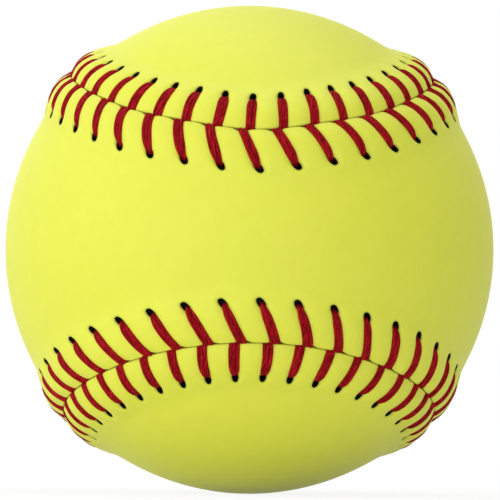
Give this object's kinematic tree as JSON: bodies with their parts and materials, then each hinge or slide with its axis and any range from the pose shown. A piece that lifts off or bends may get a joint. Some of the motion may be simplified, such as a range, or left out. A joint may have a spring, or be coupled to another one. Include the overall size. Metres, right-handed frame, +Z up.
{
  "type": "softball",
  "caption": "Raised-seam leather softball: figure-eight cover panels cemented over a moulded core and sewn edge to edge with red waxed thread.",
  "frame": {"origin": "centre of the ball", "axes": "+Z up, the waist of the front panel faces -Y, that panel's lobes lie at +X and -X and the rear panel's lobes at +Z and -Z"},
  "size_m": [0.097, 0.097, 0.097],
  "materials": {
    "core": "moulded polyurethane, dark, smooth",
    "cement": "dried glue film",
    "leather": "optic yellow, fine grain, soft sheen",
    "thread": "crimson waxed thread, twisted plies"
  },
  "bodies": {
    "root": {"core": "core", "front_cement": "cement", "rear_cement": "cement", "front_cover": "leather", "rear_cover": "leather", "thread_one": "thread", "thread_two": "thread"}
  },
  "joints": []
}
